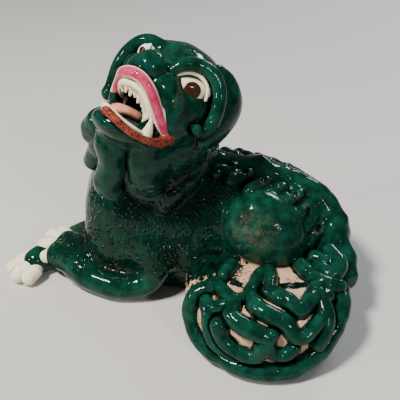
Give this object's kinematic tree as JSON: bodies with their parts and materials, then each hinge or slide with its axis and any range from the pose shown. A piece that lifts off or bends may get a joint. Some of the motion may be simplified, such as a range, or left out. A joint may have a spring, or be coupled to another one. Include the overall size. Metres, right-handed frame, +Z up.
{
  "type": "foo dog statue",
  "caption": "Glazed pottery foo dog lying down, head turned and thrown up with open mouth, crossed forepaws, combed spine and curled tail netted with clay strings.",
  "frame": {"origin": "on the resting plane, under the middle of the whole figure", "axes": "+Z up, +X from the forepaws to the rump, -Y the side that the face and the curled tail are on"},
  "size_m": [0.1645, 0.1102, 0.1187],
  "materials": {
    "green_glaze": "glossy",
    "cream_glaze": "glossy",
    "pink_glaze": "glossy",
    "red_glaze": "glossy",
    "salmon_glaze": "glossy",
    "brown_glaze": "glossy",
    "bare_clay": "matte"
  },
  "bodies": {
    "root": {"beard_lock_chin": "green_glaze", "beard_lock_far_lower": "green_glaze", "beard_lock_far_upper": "green_glaze", "beard_lock_throat": "green_glaze", "body_shell": "green_glaze", "ear_far": "green_glaze", "ear_near": "green_glaze", "ear_rim_far": "green_glaze", "ear_rim_near": "green_glaze", "eye_far": "cream_glaze", "eye_near": "cream_glaze", "eyelid_far": "cream_glaze", "eyelid_near": "cream_glaze", "foreleg_far": "green_glaze", "foreleg_near": "green_glaze", "haunch_far": "green_glaze", "haunch_near": "green_glaze", "head_shell": "green_glaze", "hind_paw_far": "green_glaze", "hind_toes_far": "cream_glaze", "iris_far": "brown_glaze", "iris_near": "brown_glaze", "lower_fangs": "cream_glaze", "lower_jaw": "green_glaze", "lower_lip": "red_glaze", "lower_teeth": "cream_glaze", "mane_neck": "green_glaze", "nose": "green_glaze", "nostril_wing_far": "green_glaze", "nostril_wing_near": "green_glaze", "spine_lobes_far": "green_glaze", "spine_lobes_near": "green_glaze", "spine_ridge": "green_glaze", "tail_front_roll": "green_glaze", "tail_mound": "bare_clay", "tail_pellets": "green_glaze", "tail_rim_roll": "green_glaze", "tail_string_centre": "green_glaze", "tail_string_curl": "green_glaze", "tail_string_double_bend": "green_glaze", "tail_string_front": "green_glaze", "tail_string_right": "green_glaze", "tail_string_upper": "green_glaze", "toes_far": "cream_glaze", "toes_near": "cream_glaze", "tongue": "salmon_glaze", "upper_fangs": "cream_glaze", "upper_lip": "pink_glaze", "upper_teeth": "cream_glaze"}
  },
  "joints": []
}
